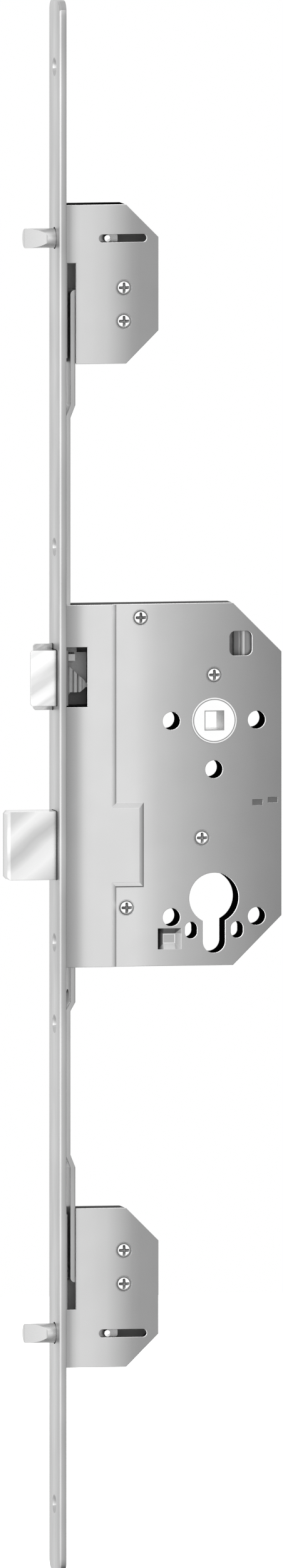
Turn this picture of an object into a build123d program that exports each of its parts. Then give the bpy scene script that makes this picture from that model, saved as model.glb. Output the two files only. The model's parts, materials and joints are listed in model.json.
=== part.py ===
"""Multipoint mortise door lock: a latch, a deadbolt and two outer round bolts on one faceplate.

Millimetres, +Z up along the faceplate. The origin is on the follower axis, half way
through the case. The faceplate looks towards -X, and the cover side of the cases is -Y.
"""
import os
from math import atan2, cos, degrees, hypot, pi, radians, sin, sqrt

from build123d import *

os.makedirs("parts", exist_ok=True)

# Faceplate
backset = 70
plate_thick = 3
plate_wide = 24
plate_past_box = 90  # from each outer box to the end of the faceplate
plate_chamfer = 0.7
mid_drop = 28  # middle of the faceplate below the follower axis
screw_bore = 5.4
screw_head = 8.2
end_screw_inset = 29.7
case_screw_reach = 104.7  # from the middle of the faceplate
opening_gap = 0.15

# Sheet metal cases
case_thick = 16
sheet = 1.5
cover_step = 1.5
case_rise = 51.5
case_fall = 107.5
case_back = 30
case_corner = 21.6
raised_back = -45.9  # edge of the raised band of the cover
bend_run = 2.2
raised_tab_back = -33.6
raised_tab_top = -37.8
raised_tab_bottom = -70.5
box_deep = 41.8
box_tall = 69.8
box_corner = 14.4
box_foot_reach = 185.4  # from the middle of the faceplate
overrun = 1

# Spindle, rose and cylinder holes
spindle = 8
follower_r = 9.2
follower_body_r = 8.8
bush_wall = 0.75
bush_proud = 0.5
running_gap = 0.05
rose_hole_r = 4
sleeve_wall = 0.8
rose_reach = 19
rose_drop = 21.5
cylinder_drop = 78
cylinder_r = 11.15
cylinder_leg = 10.2
cylinder_tall = 35.3
cylinder_screw_drop = 19
escutcheon_drop = 8.2
side_slot_reach = 10.25
side_slot_drop = 14
side_slot_wide = 5.7
side_slot_tall = 7.4

# Layers of the mechanism, from the back plate to the cover
floor_gap = 0.1
layer_gap = 0.2
slide_thick = 1.8
bar_thick = 3
arm_thick = 2
strap_thick = 1.5

# Travels
follower_turn = 45
latch_travel = 11.7
rod_travel = 12
deadbolt_travel = 22
lever_swing = 40
bolt_travel = 13.5
crank_swing = 44

# Latch and its trigger
latch_height = 19.5
latch_tall = 24.4
latch_near = -6
latch_far = 2.9
latch_nose = 1.8
latch_root = -65
latch_bevel_foot = -70.7
trigger_tall = 29
trigger_near = 3.1
trigger_far = 6.3
trigger_reach = 8.6
trigger_root = -66
nose_trim = 0.8
tail_far = 0.6
tail_end_x = -33.3
tail_low_x = -63.4
tail_low_z = 10.6
tail_foot_x = -59
tail_foot_z = 12.9
tail_tip_low = 15.2
tail_tip_high = 17.7
tail_root_z = 25.4
tail_notch_x = -59.9
tail_notch_z = 30.4
plate_end = -55.5
plate_top = 33.6
strip_bottom = 11.3
strip_top = 17.1
key_pin_left = -64.6
key_pin_bottom = 26.8
key_pin_wide = 3.1
key_pin_proud = 1.2
key_hole_gap = 0.35
tail_valley_near = -63.1
tail_valley_far = -59.2
valley_r = 1.6
valley_deep = 0.7
lug_left = -55
lug_right = -52
lug_top = 31

# Deadbolt
deadbolt_drop = 54
deadbolt_tall = 30
deadbolt_thick = 12
deadbolt_long = 36
deadbolt_trim = 1.2
tail_top = -46
tail_bottom = -62

# Pins, posts and their working gaps
post_r = 2.3
pin_r = 1.6
slim_pin_r = 1.5
pivot_r = 1.8
slot_gap = 0.15
cam_gap = 0.2
hub_wall = 2.4
slot_wall = 2

# Places in the main case
cam_x = -39.5
cam_z = 12
spine_x = -29.8
spine_half = 3.6
lever_pivot_z = -22
latch_post_x = -32.8
latch_post_z = 45.6
follower_post_z = 20
lever_post_x = -5.5
lever_post_z = -51.5
foot_post_x = -39.1
foot_post_z = -81.7

slide_wall = 1.5
arm_tip_r = 2
prong = 2.2
bar_bottom = 9.8
bar_top = 15.5
fork_floor = 12.2
fork_top = 17.2
stud_x = -36
stud_z = 14.2
lobe_half = 4
side_play = 0.65
fork_gap = 0.3
lower_tab_bottom = -86.5
lower_tab_low = -72
lower_tab_top = -64.5
lower_tab_knee = -44
lever_hub_r = 4.2
lever_tip_r = 3
lift_tip_r = 2.8
nose_arm = 15.8
nose_lean = 11
nose_r = 2

# Springs, the latch's stem and its bracket
guide_rod_r = 1.3
guide_rod_long = 17
wire = 0.8
trigger_wire = 0.5
return_coil_r = 2.3
latch_coil_r = 2.35
trigger_coil_r = 1.2
coil_sides = 12
wire_sides = 6
return_turns = 10
latch_turns = 6
trigger_turns = 4
return_spring_z = 13.6
stem_z = 27
stem_r = 1.5
stem_long = 22
bracket_left = -34.4
bracket_right = -29.4
bracket_bottom = 22.5
bracket_ring_r = 4.2
bracket_far = 2.2
trigger_trim = 0.8

# Window of the cover, the stiffener behind it and the catch of the cover
window_back = -56.6
window_bottom = 6.7
window_top = 33.1
sight_left = 6.9
sight_right = 17.1
sight_bottom = 28.2
sight_top = 39.1
sight_radius = 2.6
dish_x = -19.9
dish_z = -95.6
dish_wide = 10.5
dish_tall = 9.2
dish_floor_wide = 5.2
dish_floor_tall = 4.4
dish_deep = 1.6
slot_a_left = 17.1
slot_a_right = 21.7
slot_a_bottom = -37.5
slot_a_top = -35
slot_b_left = 24
slot_b_right = 28.4
slot_b_bottom = -36.4
slot_b_top = -34.1
catch_margin = 2.2
catch_sunk = 0.3
stiffener_left = 10.6
stiffener_step = 13.1
stiffener_bottom = 24
stiffener_tall = 23
stiffener_y = 2
stiffener_near = -2.5

# Drive rods
rod_thick = 2.2
rod_wide = 12.6
rod_near_gap = 0.7
rod_step = 2.2
foot_z = 35.2
foot_back = -47
lower_foot_z = -74.2
rod_step_drop = 18  # outer step of a rod, below the foot of its box
rod_step_long = 5.6
rod_end_wall = 2.05
rod_hook = 4.6
rod_bend_r = 2
lower_step_high = -122.8
lower_step_low = -126.7
rod_slot = 6.4
window_half_tall = 2.25
window_half_wide = 1.6
foot_grip = 3

# Outer bolt boxes; heights are measured from the foot of the box
bolt_rise = 55
bolt_r = 4.3
bolt_hole = 9.7
bolt_flat_wide = 3.4
bolt_flat_long = 9.6
bolt_round_long = 27.5
bolt_trim = 0.3
bolt_tail_root = -58
bolt_tail_end = -42.4
bolt_tail_low = 6
bolt_tail_knee = -50.5
bolt_tail_shelf = 3.4
bolt_tail_rear = 1.1
bolt_tail_high = 3
bolt_tail_trim = 2.1
bolt_tail_side = 3
bush_long = 6
bush_half = 7
bush_side = 6.4
box_screw_x = -40.6
box_screw_low = 18.6
box_screw_high = 33.3
crank_x = -47.2
crank_rise = 34.2
crank_hub_r = 3.5
crank_hub_side = 5.8
crank_side = 1.2
crank_neck = 1.15
crank_nose_r = 2
notch_back = -61.8
notch_tall = 44.4
guide_left = -51.7
guide_right = -30.2
guide_slot_r = 1.8
guide_pin_x = -47.7
guide_pin_r = 1.55
guide_pin_sunk = 0.2

# Screws
screw_shank_r = 1.4
head_r = 3.2
head_tall = 1.2
head_slope = 0.9
head_slope_in = 1
head_seat_r = 3.6
head_seat_deep = 0.3
cross_long = 3.6
cross_wide = 0.9
cross_deep = 0.8

# Derived places
plate_front = -backset
plate_back = plate_front + plate_thick
plate_mid = -mid_drop
mid_plane = Plane.XY.offset(plate_mid)
back_out = case_thick / 2
back_in = back_out - sheet
raised_out = -case_thick / 2
raised_in = raised_out + sheet
cover_out = raised_out + cover_step
cover_in = cover_out + sheet
wall_back = plate_back + sheet
case_inside = case_back - sheet
latch_post = (latch_post_x, latch_post_z)
lever_post = (lever_post_x, lever_post_z)
foot_post = (foot_post_x, foot_post_z)
cover_screws = [latch_post, (0, follower_post_z), lever_post, foot_post]
plate_long = 2 * (box_foot_reach + box_tall + plate_past_box)
box_bottom = plate_mid + box_foot_reach
box_top = box_bottom + box_tall
crank_z = box_bottom + crank_rise
bolt_z = box_bottom + bolt_rise
box_screw_places = [(box_screw_x, box_bottom + rise) for rise in (box_screw_low, box_screw_high)]
rod_pin_z = crank_z - rod_travel / 2
rod_end_z = rod_pin_z + window_half_tall + rod_end_wall
rod_step_z = box_bottom - rod_step_drop

slide_far = back_in - floor_gap
slide_near = slide_far - slide_thick
lower_far = slide_near - layer_gap
lower_near = lower_far - slide_thick
bar_far = lower_near - layer_gap
bar_near = bar_far - bar_thick
arm_far = bar_near - layer_gap
arm_near = arm_far - arm_thick
strap_far = arm_near - layer_gap
strap_near = strap_far - strap_thick


def half_swing(swing):
    return radians(swing / 2)


follower_arm = latch_travel / (2 * sin(half_swing(follower_turn)))
lever_long = deadbolt_travel / (2 * sin(half_swing(lever_swing)))
lever_short = rod_travel / (2 * sin(half_swing(lever_swing)))
crank_long = bolt_travel / (2 * sin(half_swing(crank_swing)))
crank_short = rod_travel / (2 * sin(half_swing(crank_swing)))


def layer(y_far):
    """Sketch plane at a depth, with X to the right and Z up; it extrudes towards the cover."""
    return Plane.XZ.offset(-y_far)


def slab(points, y_far, y_near, mode=Mode.ADD):
    """Plate with a straight sided outline between two depths."""
    with BuildSketch(layer(y_far)) as profile:
        with BuildLine():
            Polyline(*points, close=True)
        make_face()
    extrude(profile.sketch, amount=y_far - y_near, mode=mode)


def block(left, right, bottom, top, y_far, y_near, mode=Mode.ADD):
    slab([(left, bottom), (right, bottom), (right, top), (left, top)], y_far, y_near, mode)


def disc(place, radius, y_far, y_near, mode=Mode.ADD):
    with BuildSketch(layer(y_far)) as profile:
        with Locations(place):
            Circle(radius)
    extrude(profile.sketch, amount=y_far - y_near, mode=mode)


def link(start, end, radius, y_far, y_near, mode=Mode.ADD):
    """Round ended bar or slot from one centre to another."""
    across, rise = end[0] - start[0], end[1] - start[1]
    with BuildSketch(layer(y_far)) as profile:
        with Locations((start[0] + across / 2, start[1] + rise / 2)):
            SlotCenterToCenter(hypot(across, rise), 2 * radius, rotation=degrees(atan2(rise, across)))
    extrude(profile.sketch, amount=y_far - y_near, mode=mode)


def save(piece, name):
    piece.part.label = name
    export_step(piece.part, f"parts/{name}.step")


def mirrored(source):
    """Same piece on the other side of the faceplate's middle."""
    with BuildPart() as twin:
        mirror(source.part, about=mid_plane)
    return twin


# Faceplate
screw_reaches = (plate_long / 2 - end_screw_inset, case_screw_reach)
screw_heights = [plate_mid + side * reach for reach in screw_reaches for side in (1, -1)]
cylinder_screw_z = -cylinder_drop - cylinder_screw_drop
bolt_heights = (bolt_z, 2 * plate_mid - bolt_z)

with BuildPart() as faceplate:
    with BuildSketch(Plane.YZ.offset(plate_front)):
        with Locations((0, plate_mid)):
            SlotOverall(plate_long, plate_wide, rotation=90)
    extrude(amount=plate_thick)
    front_face = faceplate.faces().sort_by(Axis.X)[0]
    chamfer(front_face.outer_wire().edges(), plate_chamfer)
    for height in screw_heights + [cylinder_screw_z]:
        with Locations(Plane((plate_front, 0, height), z_dir=(-1, 0, 0))):
            CounterSinkHole(screw_bore / 2, screw_head / 2, plate_thick)
    latch_layers = ((latch_near, latch_far, latch_tall), (trigger_near, trigger_far, trigger_tall))
    for y_near, y_far, tall in latch_layers:
        half = tall / 2 + opening_gap
        block(
            plate_front - overrun, plate_back + overrun, latch_height - half, latch_height + half,
            y_far + opening_gap, y_near - opening_gap, Mode.SUBTRACT,
        )
    half = deadbolt_tall / 2 + opening_gap
    side = deadbolt_thick / 2 + opening_gap
    block(
        plate_front - overrun, plate_back + overrun, -deadbolt_drop - half, -deadbolt_drop + half,
        side, -side, Mode.SUBTRACT,
    )
    with BuildSketch(Plane.YZ.offset(plate_front - overrun)):
        with Locations(*[(0, height) for height in bolt_heights]):
            Circle(bolt_hole / 2)
    extrude(amount=plate_thick + 2 * overrun, mode=Mode.SUBTRACT)
save(faceplate, "faceplate")


# Main case
def case_outline(right, bottom, top, corner, inset=0):
    """Outline with two slanted corners at the back; inset gives the inside of the walls."""
    cut = corner - inset * (2 - sqrt(2))
    left, right = plate_back - (overrun if inset else 0), right - inset
    bottom, top = bottom + inset, top - inset
    return [
        (left, bottom), (right - cut, bottom), (right, bottom + cut),
        (right, top - cut), (right - cut, top), (left, top),
    ]


case_sizes = (case_back, -case_fall, case_rise, case_corner)
rose_holes = [(-rose_reach, 0), (rose_reach, 0), (0, -rose_drop)]
escutcheon_z = -cylinder_drop - escutcheon_drop
rose_holes += [(-rose_reach, escutcheon_z), (rose_reach, escutcheon_z)]
side_slot_z = -cylinder_drop - side_slot_drop
leg_end_z = -cylinder_drop + cylinder_r - cylinder_tall + cylinder_leg / 2
rod_left = plate_back + rod_near_gap
rod_right = rod_left + rod_thick


def handle_and_cylinder_holes():
    """Holes that go right through the main case, cut in whichever plate is being made."""
    reach = (back_out + overrun, raised_out - overrun, Mode.SUBTRACT)
    for place in rose_holes:
        disc(place, rose_hole_r, *reach)
    disc((0, -cylinder_drop), cylinder_r, *reach)
    link((0, -cylinder_drop), (0, leg_end_z), cylinder_leg / 2, *reach)
    for side in (-1, 1):
        centre = (side * side_slot_reach, side_slot_z)
        with BuildSketch(layer(reach[0])) as profile:
            with Locations(centre):
                SlotOverall(side_slot_tall, side_slot_wide, rotation=90)
        extrude(profile.sketch, amount=reach[0] - reach[1], mode=Mode.SUBTRACT)
    disc((0, 0), follower_r + running_gap + bush_wall, *reach)


rod_way = rod_near_gap
front_wall_top = -cylinder_drop - head_r

with BuildPart() as main_case_tray:
    slab(case_outline(*case_sizes), back_out, cover_in)
    slab(case_outline(*case_sizes, inset=sheet), back_in, cover_in - overrun, Mode.SUBTRACT)
    block(plate_back, raised_back, case_rise - sheet, case_rise, cover_in, raised_in)
    block(plate_back, raised_back, -case_fall, -case_fall + sheet, cover_in, raised_in)
    block(plate_back, wall_back, -case_fall + sheet, front_wall_top, back_in, raised_in)
    handle_and_cylinder_holes()
    block(
        plate_back - overrun, rod_right + rod_way, case_rise - sheet - overrun, case_rise + overrun,
        back_in, raised_in, Mode.SUBTRACT,
    )
    block(
        wall_back, rod_right + rod_step + rod_way, -case_fall - overrun, -case_fall + sheet + overrun,
        back_in, raised_in, Mode.SUBTRACT,
    )
    with BuildSketch(Plane.YZ.offset(plate_back - overrun)):
        with Locations((0, cylinder_screw_z)):
            Circle(screw_bore / 2)
    extrude(amount=sheet + 2 * overrun, mode=Mode.SUBTRACT)
save(main_case_tray, "main_case_tray")


# Cover of the main case, with its raised band and pressed square
catch_slots = [
    (slot_a_left, slot_a_right, slot_a_bottom, slot_a_top),
    (slot_b_left, slot_b_right, slot_b_bottom, slot_b_top),
]
bend_angle = degrees(atan2(bend_run, cover_step))


def raised_band(y_base):
    """Raised band and its tab above the deadbolt, with bent sides, as a solid of one step."""
    edge, tab = raised_back + bend_run, raised_tab_back + bend_run
    left, low, high = plate_back - 2 * bend_run, -case_fall - 2 * bend_run, case_rise + 2 * bend_run
    tab_low, tab_high = raised_tab_bottom - bend_run, raised_tab_top + bend_run
    points = [
        (left, low), (edge, low), (edge, tab_low), (tab, tab_low),
        (tab, tab_high), (edge, tab_high), (edge, high), (left, high),
    ]
    with BuildPart() as band:
        with BuildSketch(layer(y_base)):
            with BuildLine():
                Polyline(*points, close=True)
            make_face()
        extrude(amount=cover_step, taper=bend_angle)
        slab(case_outline(*case_sizes), y_base, y_base - cover_step, Mode.INTERSECT)
    return band.part


def pressed_square(y_rim, mode):
    """Four sided hollow of the cover, or its bulge inside."""
    with BuildSketch(layer(y_rim)) as rim:
        with Locations((dish_x, dish_z)):
            Rectangle(dish_wide, dish_tall)
    with BuildSketch(layer(y_rim + dish_deep)) as floor:
        with Locations((dish_x, dish_z)):
            Rectangle(dish_floor_wide, dish_floor_tall)
    loft([rim.sketch, floor.sketch], mode=mode)


def screw_seats(places, y_face):
    for place in places:
        disc(place, screw_shank_r + running_gap, y_face + sheet + overrun, y_face - overrun, Mode.SUBTRACT)
        disc(place, head_seat_r, y_face + head_seat_deep, y_face - overrun, Mode.SUBTRACT)


band_outside = raised_band(cover_out)
band_inside = raised_band(cover_in)

with BuildPart() as main_case_cover:
    slab(case_outline(*case_sizes), cover_in, cover_out)
    add(band_outside)
    add(band_inside, mode=Mode.SUBTRACT)
    pressed_square(cover_in, Mode.ADD)
    pressed_square(cover_out, Mode.SUBTRACT)
    handle_and_cylinder_holes()
    screw_seats(cover_screws, cover_out)
    block(
        plate_back - overrun, window_back, window_bottom, window_top,
        cover_in + overrun, raised_out - overrun, Mode.SUBTRACT,
    )
    with BuildSketch(layer(cover_in + overrun)):
        with Locations(((sight_left + sight_right) / 2, (sight_bottom + sight_top) / 2)):
            RectangleRounded(sight_right - sight_left, sight_top - sight_bottom, sight_radius)
    extrude(amount=sheet + 2 * overrun, mode=Mode.SUBTRACT)
    for left, right, bottom, top in catch_slots:
        block(left, right, bottom, top, cover_in + overrun, cover_out - overrun, Mode.SUBTRACT)
save(main_case_cover, "main_case_cover")


# Screws and posts of every case
def cross_screws(places, y_face):
    """Low heads with a wide chamfer and a cross recess, on shanks that reach into the posts."""
    seat = y_face + head_seat_deep
    with BuildPart() as screws:
        for x, z in places:
            disc((x, z), screw_shank_r, y_face + 3 * sheet, seat)
            disc((x, z), head_r, seat, seat - head_tall)
            rim = screws.edges().filter_by(GeomType.CIRCLE).group_by(Axis.Y)[0]
            rim = [edge for edge in rim if abs(edge.arc_center.Z - z) < head_r]
            chamfer(rim, head_slope, head_slope_in)
            for wide, tall in ((cross_long, cross_wide), (cross_wide, cross_long)):
                block(
                    x - wide / 2, x + wide / 2, z - tall / 2, z + tall / 2,
                    seat - head_tall + cross_deep, seat - head_tall - overrun, Mode.SUBTRACT,
                )
    return screws


def threaded_posts(places, y_near):
    with BuildPart() as posts:
        for place in places:
            disc(place, post_r, back_in, y_near)
            disc(place, screw_shank_r + running_gap, y_near + 3 * sheet, y_near, Mode.SUBTRACT)
    return posts


main_case_screws = cross_screws(cover_screws, cover_out)
save(main_case_screws, "main_case_screws")
main_case_posts = threaded_posts(cover_screws, cover_in)
save(main_case_posts, "main_case_posts")

with BuildPart() as rose_sleeves:
    for place in rose_holes:
        disc(place, rose_hole_r + sleeve_wall, back_in, cover_in)
        disc(place, rose_hole_r, back_in, cover_in, Mode.SUBTRACT)
save(rose_sleeves, "rose_sleeves")

with BuildPart() as follower_bushes:
    for y_far, y_near in ((back_out + bush_proud, back_in), (cover_in, cover_out - bush_proud)):
        disc((0, 0), follower_r + running_gap + bush_wall, y_far, y_near)
        disc((0, 0), follower_r + running_gap, y_far, y_near, Mode.SUBTRACT)
save(follower_bushes, "follower_bushes")


# Follower with the arm that pulls the bar
def turned(radius, angle):
    """Point at a radius from the follower axis; the angle leans towards the faceplate."""
    return (-radius * sin(angle), radius * cos(angle))


roller = turned(follower_arm, half_swing(follower_turn))
with BuildPart() as follower:
    disc((0, 0), follower_r, back_out + bush_proud, back_in)
    disc((0, 0), follower_body_r, back_in, cover_in)
    disc((0, 0), follower_r, cover_in, cover_out - bush_proud)
    link((0, 0), roller, arm_tip_r, arm_far, arm_near)
    disc(roller, pin_r, bar_far, arm_near)
    block(
        -spindle / 2, spindle / 2, -spindle / 2, spindle / 2,
        back_out + bush_proud + overrun, cover_out - bush_proud - overrun, Mode.SUBTRACT,
    )
save(follower, "follower")


# Pull bar: the follower draws it back, and its pin drives both slides
cam_slot_r = slim_pin_r + cam_gap
slide_left = cam_x - cam_slot_r - slide_wall
slide_right = cam_x + latch_travel + cam_slot_r + slide_wall
fork_half = pin_r + slot_gap
stud = (stud_x, stud_z)
bar_end = roller[0] + fork_half + prong

with BuildPart() as pull_bar:
    slab(
        [
            (slide_left, bar_bottom - slide_wall),
            (cam_x + cam_slot_r + slide_wall, bar_bottom - slide_wall),
            (cam_x + 2 * cam_slot_r + slide_wall, bar_bottom), (bar_end, bar_bottom), (bar_end, fork_top),
            (roller[0] + fork_half, fork_top), (roller[0] + fork_half, fork_floor),
            (roller[0] - fork_half, fork_floor), (roller[0] - fork_half, fork_top),
            (roller[0] - fork_half - prong, fork_top), (roller[0] - fork_half - 2 * prong, bar_top),
            (slide_left, bar_top),
        ],
        bar_far, bar_near,
    )
    disc((cam_x, cam_z), slim_pin_r, bar_far, bar_near, Mode.SUBTRACT)
    disc(stud, slim_pin_r, bar_near, arm_near)
save(pull_bar, "pull_bar")

with BuildPart() as cam_pin:
    disc((cam_x, cam_z), slim_pin_r, slide_far, bar_near)
save(cam_pin, "cam_pin")

# Return spring of the bar on its guide rod
bar_mid = (bar_far + bar_near) / 2
with BuildPart() as return_guide_rod:
    with BuildSketch(Plane.YZ.offset(case_inside - guide_rod_long)):
        with Locations((bar_mid, return_spring_z)):
            Circle(guide_rod_r)
    extrude(amount=guide_rod_long)
save(return_guide_rod, "return_guide_rod")


def coil_spring(start_x, end_x, y, z, coil_r, thread, turns):
    """Compression spring along X between two seats, of six sided wire in straight runs."""
    first, last = start_x + thread, end_x - thread
    count = turns * coil_sides
    places = []
    for step in range(count + 1):
        angle = 2 * pi * step / coil_sides
        along = first + (last - first) * step / count
        places.append((along, y + coil_r * cos(angle), z + coil_r * sin(angle)))
    with BuildPart() as spring:
        with BuildLine() as path:
            Polyline(*places)
        with BuildSketch(Plane(path.line @ 0, z_dir=path.line % 0)):
            RegularPolygon(thread / 2, wire_sides)
        sweep(path=path.line, transition=Transition.RIGHT)
    return spring


return_spring = coil_spring(
    bar_end, case_inside, bar_mid, return_spring_z, return_coil_r, wire, return_turns
)
save(return_spring, "return_spring")


# Latch head, its tail, its spring and its trigger
latch_front = plate_front - latch_travel
half = latch_tall / 2
with BuildPart() as latch_head:
    with BuildSketch(Plane.XY.offset(latch_height - half)):
        with BuildLine():
            Polyline(
                (latch_root, latch_near), (latch_front, latch_near), (latch_front, latch_near + latch_nose),
                (latch_bevel_foot, latch_far), (latch_root, latch_far), close=True,
            )
        make_face()
    extrude(amount=latch_tall)
    nose_edges = latch_head.faces().sort_by(Axis.X)[0].edges().filter_by(Axis.Y)
    chamfer(nose_edges, nose_trim)
save(latch_head, "latch_head")

stem_y = (arm_near + tail_far) / 2
tail_tip = window_back
with BuildPart() as latch_tail:
    slab(
        [
            (latch_root, latch_height - half), (plate_end, latch_height - half), (plate_end, tail_notch_z),
            (tail_notch_x, tail_notch_z), (tail_notch_x, plate_top), (latch_root, plate_top),
        ],
        latch_far, tail_far,
    )
    slab(
        [
            (latch_root, tail_low_z), (tail_low_x, tail_foot_z), (tail_foot_x, tail_foot_z),
            (tail_tip, tail_tip_low), (tail_tip, tail_tip_high), (latch_root, tail_root_z),
        ],
        tail_far, arm_near,
    )
    block(tail_tip - overrun, lug_right, tail_tip_low, strip_top, tail_far, arm_near)
    block(lug_left, tail_end_x, strip_bottom, strip_top, arm_far, arm_near)
    block(lug_left, lug_right, strip_top, lug_top, tail_far, arm_near)
    link(
        (stud[0] - latch_travel, stud[1]), stud, slim_pin_r + slot_gap,
        arm_far + overrun, arm_near - overrun, Mode.SUBTRACT,
    )
    for valley in (tail_valley_near, tail_valley_far):
        with BuildSketch(Plane.XY.offset(tail_low_z)) as groove:
            with Locations((valley, arm_near - valley_r + valley_deep)):
                Circle(valley_r)
        extrude(groove.sketch, amount=tail_root_z - tail_low_z, mode=Mode.SUBTRACT)
    for margin, y_far, y_near, mode in (
        (key_hole_gap, tail_far + sheet, tail_far - overrun, Mode.SUBTRACT),
        (0, tail_far + sheet, arm_near - key_pin_proud, Mode.ADD),
    ):
        block(
            key_pin_left - margin, key_pin_left + key_pin_wide + margin,
            key_pin_bottom - margin, key_pin_bottom + key_pin_wide + margin, y_far, y_near, mode,
        )
    block(
        plate_end - sheet, plate_end, latch_height - lobe_half, latch_height + lobe_half,
        trigger_far - slot_gap, latch_far,
    )
save(latch_tail, "latch_tail")

with BuildPart() as latch_stem:
    with BuildSketch(Plane.YZ.offset(lug_right)):
        with Locations((stem_y, stem_z)):
            Circle(stem_r)
    extrude(amount=stem_long)
save(latch_stem, "latch_stem")

latch_spring = coil_spring(lug_right, bracket_left, stem_y, stem_z, latch_coil_r, wire, latch_turns)
save(latch_spring, "latch_spring")

with BuildPart() as spring_bracket:
    slab(
        [
            (bracket_left, bracket_bottom), (bracket_right, bracket_bottom),
            (bracket_right, latch_post_z), (bracket_left, latch_post_z),
        ],
        strap_far, strap_near,
    )
    disc(latch_post, bracket_ring_r, strap_far, strap_near)
    disc(latch_post, post_r + running_gap, strap_far, strap_near, Mode.SUBTRACT)
    block(
        bracket_left, bracket_left + sheet, bracket_bottom, stem_z + bracket_ring_r,
        bracket_far, strap_far,
    )
    with BuildSketch(Plane.YZ.offset(bracket_left - overrun)):
        with Locations((stem_y, stem_z)):
            Circle(stem_r + slot_gap)
    extrude(amount=sheet + 2 * overrun, mode=Mode.SUBTRACT)
save(spring_bracket, "spring_bracket")

half = trigger_tall / 2
trigger_front = plate_front - trigger_reach
with BuildPart() as latch_trigger:
    with BuildSketch(Plane.XY.offset(latch_height - half)):
        with BuildLine():
            Polyline(
                (trigger_root, trigger_near), (trigger_front, trigger_near),
                (trigger_front, trigger_near + latch_nose), (plate_front, trigger_far),
                (trigger_root, trigger_far), close=True,
            )
        make_face()
    extrude(amount=trigger_tall)
    tip_edges = latch_trigger.faces().sort_by(Axis.X)[0].edges().filter_by(Axis.Y)
    chamfer(tip_edges, trigger_trim)
save(latch_trigger, "latch_trigger")

trigger_mid = (trigger_near + trigger_far) / 2
trigger_spring = coil_spring(
    trigger_root, plate_end - sheet, trigger_mid, latch_height, trigger_coil_r, trigger_wire, trigger_turns
)
save(trigger_spring, "trigger_spring")


# Corner stiffener and the catch that the cover clips onto
with BuildPart() as corner_stiffener:
    with BuildSketch(Plane.XY.offset(stiffener_bottom)):
        with BuildLine():
            Polyline(
                (stiffener_left, back_in), (stiffener_left, stiffener_y), (stiffener_step, stiffener_y),
                (stiffener_step, stiffener_near), (case_inside, stiffener_near),
                (case_inside, stiffener_near + sheet), (stiffener_step + sheet, stiffener_near + sheet),
                (stiffener_step + sheet, stiffener_y + sheet),
                (stiffener_left + sheet, stiffener_y + sheet),
                (stiffener_left + sheet, back_in), close=True,
            )
        make_face()
    extrude(amount=stiffener_tall)
    slab(case_outline(*case_sizes, inset=sheet), back_in, cover_in, Mode.INTERSECT)
save(corner_stiffener, "corner_stiffener")

with BuildPart() as cover_catch:
    lowest = min(slot[2] for slot in catch_slots) - catch_margin
    highest = max(slot[3] for slot in catch_slots) + catch_margin
    block(catch_slots[0][0] - catch_margin, case_inside, lowest, highest, cover_in + sheet, cover_in)
    for left, right, bottom, top in catch_slots:
        block(
            left + running_gap, right - running_gap, bottom + running_gap, top - running_gap,
            cover_in, cover_out + catch_sunk,
        )
save(cover_catch, "cover_catch")


# Slides that carry the rods, and the levers between them
with BuildPart() as lever_pivot_pin:
    disc((spine_x, lever_pivot_z), pivot_r, back_in, cover_in + floor_gap)
save(lever_pivot_pin, "lever_pivot_pin")

slide_top = foot_z + rod_thick
lift_x = lever_post_x - lever_short * cos(half_swing(lever_swing))
lift_z = lever_post_z - lever_short * sin(half_swing(lever_swing))
lift_mid = lever_post_x - (lever_short + lever_short * cos(half_swing(lever_swing))) / 2
with BuildPart() as upper_slide:
    slab(
        [
            (slide_left, cam_z - rod_travel - cam_slot_r - slide_wall),
            (slide_right, cam_z - rod_travel - cam_slot_r - slide_wall), (slide_right, slide_top),
            (foot_back - foot_grip, slide_top), (foot_back - foot_grip, foot_z), (slide_left, foot_z),
        ],
        slide_far, slide_near,
    )
    block(
        spine_x - spine_half, spine_x + spine_half, lift_z - lobe_half, cam_z,
        slide_far, slide_near,
    )
    block(
        spine_x - spine_half, lift_mid + lobe_half, lift_z - lobe_half, lift_z + lobe_half,
        slide_far, slide_near,
    )
    cut = (slide_far + overrun, slide_near - overrun, Mode.SUBTRACT)
    link((cam_x, cam_z), (cam_x + latch_travel, cam_z - rod_travel), cam_slot_r, *cut)
    link((latch_post_x, latch_post_z - rod_travel), latch_post, post_r + fork_gap, *cut)
    link(
        (spine_x, lever_pivot_z), (spine_x, lever_pivot_z - rod_travel),
        pivot_r + slot_gap, *cut,
    )
    link((lift_mid - side_play, lift_z), (lift_mid + side_play, lift_z), slim_pin_r + cam_gap, *cut)
save(upper_slide, "upper_slide")

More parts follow.
